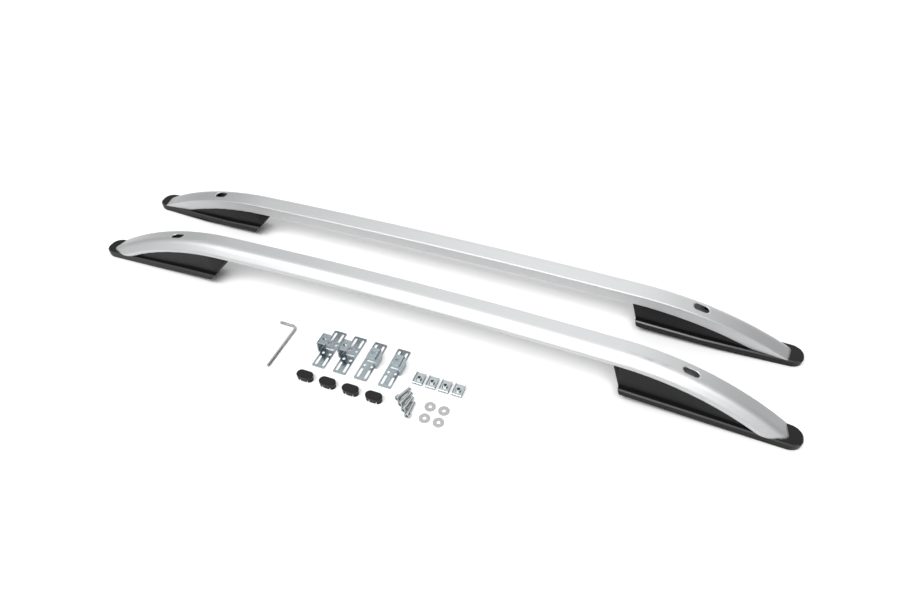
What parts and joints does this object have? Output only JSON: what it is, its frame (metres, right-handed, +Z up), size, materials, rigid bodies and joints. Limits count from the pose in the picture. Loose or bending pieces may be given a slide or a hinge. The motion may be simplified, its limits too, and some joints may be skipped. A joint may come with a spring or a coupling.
{
  "type": "roof side rail pair",
  "caption": "Pair of arched silver roof side rails on long black moulded feet, with roof brackets, slot caps, clip nuts, screws, washers and a hex key laid out beside them.",
  "frame": {"origin": "middle of the bottom of the whole layout, on the floor", "axes": "+X along the rails from front to rear, +Y from the loose fixings and left rail towards the right rail, +Z up"},
  "size_m": [1.301, 0.3644, 0.0946],
  "materials": {
    "rail": "satin silver anodised",
    "foot": "fine-grained moulding",
    "gasket": "matt",
    "foot_screw": "zinc plated",
    "bracket": "bright zinc plated sheet",
    "cap": "fine-grained moulding",
    "clip_nut": "zinc plated spring sheet",
    "screw": "zinc plated",
    "washer": "dull zinc plated",
    "key": "bright plated"
  },
  "bodies": {
    "root": {"left_rail": "rail", "right_rail": "rail", "left_front_foot": "foot", "left_front_gasket": "gasket", "left_front_bracket": "bracket", "left_front_cap": "cap", "left_rear_foot": "foot", "left_rear_gasket": "gasket", "left_rear_bracket": "bracket", "left_rear_cap": "cap", "right_front_foot": "foot", "right_front_gasket": "gasket", "right_front_bracket": "bracket", "right_front_cap": "cap", "right_rear_foot": "foot", "right_rear_gasket": "gasket", "right_rear_bracket": "bracket", "right_rear_cap": "cap", "foot_screws": "foot_screw", "clip_nuts": "clip_nut", "fixing_screws": "screw", "washers": "washer", "hex_key": "key"}
  },
  "joints": []
}
